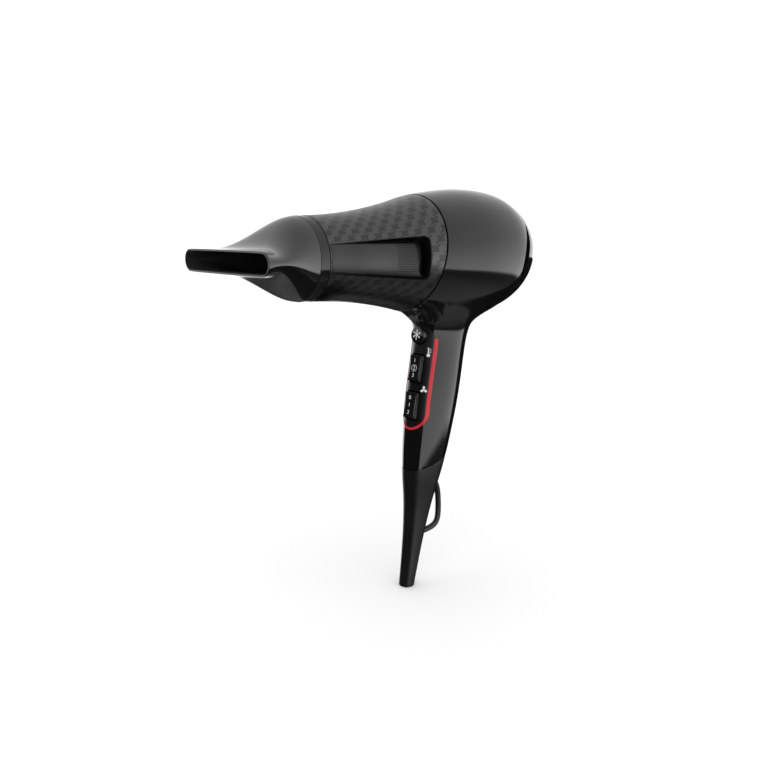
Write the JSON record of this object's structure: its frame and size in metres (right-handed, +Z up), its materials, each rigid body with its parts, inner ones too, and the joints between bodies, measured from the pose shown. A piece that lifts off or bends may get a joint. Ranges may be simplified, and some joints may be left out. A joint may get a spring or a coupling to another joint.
{
  "type": "travel hair dryer",
  "caption": "Pistol-grip hair dryer with a slot concentrator on a tapering barrel, a round rear housing with a removable cover, a panel of controls and a hanging loop.",
  "frame": {"origin": "centre of the whole object's bounding box", "axes": "+Z up the handle towards the barrel, +X from the nozzle towards the rear cover, +Y to the side"},
  "size_m": [0.264, 0.09, 0.289],
  "materials": {
    "gloss_shell": "polished black",
    "sleeve": "satin dark grey with a tonal pattern",
    "black_nylon": "satin black",
    "soft_rubber": "matt black",
    "red_trim": "satin red",
    "mica": "pressed mica sheet",
    "copper": "enamelled copper winding",
    "steel": "zinc-plated steel",
    "nichrome": "oxidised wire",
    "ferrite": "sintered ferrite",
    "circuit_board": "solder resist",
    "red_wire": "silicone insulation",
    "blue_wire": "silicone insulation"
  },
  "bodies": {
    "main_body": {"outlet_ring": "gloss_shell", "outlet_grille": "black_nylon", "barrel_sleeve": "sleeve", "side_vent_left": "sleeve", "side_vent_right": "sleeve", "housing_left": "gloss_shell", "housing_right": "gloss_shell", "mica_board_upright": "mica", "mica_board_level": "mica", "heating_coil": "nichrome", "heat_shield": "mica", "thermostat": "steel", "thermal_fuse": "steel", "fan_duct": "black_nylon", "motor_mount": "soft_rubber", "motor_can": "steel", "motor_end_cap": "black_nylon", "magnet_ring": "ferrite", "control_panel": "black_nylon", "trim_strip": "red_trim", "cool_shot_switch": "black_nylon", "heat_switch_body": "black_nylon", "speed_switch_body": "black_nylon", "switch_chassis": "black_nylon", "circuit_board": "circuit_board", "board_screw_1": "steel", "board_screw_2": "steel", "cord_clamp": "black_nylon", "cord_clamp_base": "black_nylon", "clamp_screw_1": "steel", "clamp_screw_2": "steel", "motor_lead_red": "red_wire", "motor_lead_blue": "blue_wire", "heater_lead_red": "red_wire", "heater_lead_blue": "blue_wire", "cord_guard": "soft_rubber", "hanging_loop": "soft_rubber"},
    "snap_ring": {"nozzle_snap_ring": "black_nylon"},
    "nozzle": {"nozzle_shell": "gloss_shell"},
    "rear_cover": {"rear_cover": "gloss_shell", "filter_screen": "steel"},
    "rotor": {"impeller": "black_nylon", "motor_shaft": "steel", "armature": "copper"},
    "cool_shot": {"cool_shot_button": "gloss_shell", "cool_shot_spring": "steel"},
    "heat_rocker": {"heat_rocker": "black_nylon"},
    "speed_rocker": {"speed_rocker": "black_nylon"}
  },
  "joints": [
    {"name": "nozzle_pull", "type": "slide", "parent": "main_body", "child": "snap_ring", "axis": [-1, 0, 0], "range_m": [0, 0.03]},
    {"name": "nozzle_turn", "type": "hinge", "parent": "snap_ring", "child": "nozzle", "pos_m": [-0.084, 0, 0.0995], "axis": [1, 0, 0], "continuous": true},
    {"name": "cover_pull", "type": "slide", "parent": "main_body", "child": "rear_cover", "axis": [1, 0, 0], "range_m": [0, 0.03]},
    {"name": "rotor_spin", "type": "hinge", "parent": "main_body", "child": "rotor", "pos_m": [0.065, 0, 0.0995], "axis": [1, 0, 0], "continuous": true},
    {"name": "cool_shot_press", "type": "slide", "parent": "main_body", "child": "cool_shot", "axis": [0.9842, 0, -0.1772], "range_m": [0, 0.0014], "stiffness_N_per_m": 400, "deforming": ["cool_shot_spring"]},
    {"name": "heat_rock", "type": "hinge", "parent": "main_body", "child": "heat_rocker", "pos_m": [0.02583, 0, 0.01887], "axis": [0, 1, 0], "range_deg": [-8, 8]},
    {"name": "speed_rock", "type": "hinge", "parent": "main_body", "child": "speed_rocker", "pos_m": [0.0211, 0, -0.00741], "axis": [0, 1, 0], "range_deg": [-8, 8]}
  ]
}
